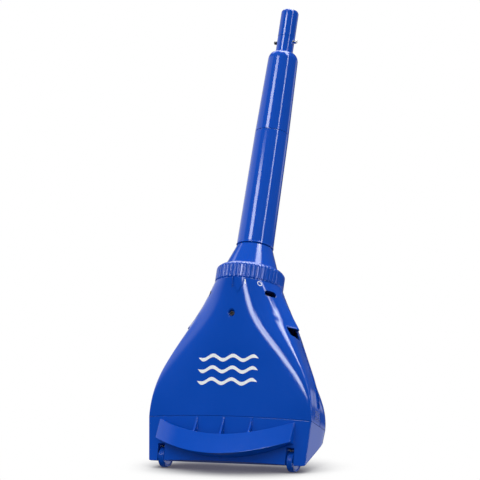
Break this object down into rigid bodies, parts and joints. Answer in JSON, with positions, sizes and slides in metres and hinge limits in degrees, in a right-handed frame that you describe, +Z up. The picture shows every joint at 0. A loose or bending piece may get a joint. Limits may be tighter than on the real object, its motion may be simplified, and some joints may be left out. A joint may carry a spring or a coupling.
{
  "type": "handheld pool vacuum",
  "caption": "Battery-powered hand vacuum for pools and spas: wide wheeled suction head with side outlets, twist power ring, battery tube and a spigot with snap buttons for a telescopic pole.",
  "frame": {"origin": "on the tube axis, at the underside of the front lip of the suction mouth", "axes": "+Z up the tube axis towards the pole, -Y out of the front face, X across the width of the head"},
  "size_m": [0.282, 0.121, 0.765],
  "materials": {
    "blue_plastic": "moulded, polished gloss",
    "steel": "drawn stainless wire and rod",
    "button_steel": "polished stainless",
    "grey_plastic": "fine moulded texture",
    "rubber": "matt elastomer",
    "bag_fabric": "woven filter cloth",
    "black_plastic": "moulded glass-filled plastic",
    "motor_can": "zinc plated",
    "lead_wire": "insulated wire",
    "sensor": "potted capsule",
    "cell_jacket": "printed jacket, no lettering",
    "contact_brass": "pressed brass"
  },
  "bodies": {
    "nose": {"nose_cap": "blue_plastic", "axle_left": "steel", "axle_right": "steel", "bag_frame": "grey_plastic", "flap_pin": "steel", "filter_bag": "bag_fabric"},
    "wheel_left": {"wheel_left": "blue_plastic"},
    "wheel_right": {"wheel_right": "blue_plastic"},
    "intake_flap": {"intake_flap": "rubber"},
    "head": {"front_shell": "blue_plastic", "rear_shell": "blue_plastic", "pump_deck": "grey_plastic", "pump_housing": "grey_plastic", "shaft_seal": "rubber", "motor_mount": "grey_plastic", "motor": "motor_can", "motor_leads": "lead_wire", "motor_housing": "blue_plastic", "reed_switch": "sensor", "stop_pin": "steel", "battery_tube": "blue_plastic", "cell_sleeve": "grey_plastic", "cells": "cell_jacket", "bottom_contact": "contact_brass", "front_screw": "steel", "rear_screws": "steel"},
    "rotor": {"impeller": "black_plastic", "motor_shaft": "steel"},
    "power_ring": {"power_ring": "blue_plastic", "ring_magnet": "motor_can"},
    "latch_left": {"latch_left": "blue_plastic"},
    "latch_right": {"latch_right": "blue_plastic"},
    "cap_seal": {"cap_o_ring": "rubber"},
    "battery_cap": {"battery_cap": "blue_plastic", "cap_contact": "contact_brass", "spring_clip": "steel"},
    "snap_left": {"snap_button_left": "button_steel"},
    "snap_right": {"snap_button_right": "button_steel"}
  },
  "joints": [
    {"name": "nose_release", "type": "slide", "parent": "nose", "child": "head", "axis": [0, 0, 1], "range_m": [0, 0.06]},
    {"name": "wheel_left_spin", "type": "hinge", "parent": "nose", "child": "wheel_left", "pos_m": [-0.111, 0.018, 0.009], "axis": [1, 0, 0], "continuous": true},
    {"name": "wheel_right_spin", "type": "hinge", "parent": "nose", "child": "wheel_right", "pos_m": [0.111, 0.018, 0.009], "axis": [1, 0, 0], "continuous": true},
    {"name": "flap_open", "type": "hinge", "parent": "nose", "child": "intake_flap", "pos_m": [0, 0.0375, 0.0651], "axis": [-1, 0, 0], "range_deg": [0, 70]},
    {"name": "latch_left_press", "type": "hinge", "parent": "head", "child": "latch_left", "pos_m": [-0.13393, 0.018, 0.09], "axis": [0, -1, 0], "range_deg": [0, 5], "stiffness_Nm_per_rad": 1.2, "springref_deg": -2.86},
    {"name": "latch_right_press", "type": "hinge", "parent": "head", "child": "latch_right", "pos_m": [0.13393, 0.018, 0.09], "axis": [0, 1, 0], "range_deg": [0, 5], "stiffness_Nm_per_rad": 1.2, "springref_deg": -2.86},
    {"name": "power_ring_turn", "type": "hinge", "parent": "head", "child": "power_ring", "pos_m": [0, 0, 0.295], "axis": [0, 0, 1], "range_deg": [0, 23]},
    {"name": "impeller_spin", "type": "hinge", "parent": "head", "child": "rotor", "pos_m": [0, 0, 0.22], "axis": [0, 0, 1], "continuous": true},
    {"name": "battery_cap_lift", "type": "slide", "parent": "head", "child": "cap_seal", "axis": [0, 0, 1], "range_m": [0, 0.04]},
    {"name": "battery_cap_turn", "type": "hinge", "parent": "cap_seal", "child": "battery_cap", "pos_m": [0, 0, 0.55], "axis": [0, 0, 1], "range_deg": [0, 90]},
    {"name": "snap_left_press", "type": "slide", "parent": "battery_cap", "child": "snap_left", "axis": [1, 0, 0], "range_m": [0, 0.0055], "stiffness_N_per_m": 900, "springref_m": -0.004},
    {"name": "snap_right_press", "type": "slide", "parent": "battery_cap", "child": "snap_right", "axis": [-1, 0, 0], "range_m": [0, 0.0055], "stiffness_N_per_m": 900, "springref_m": -0.004}
  ]
}
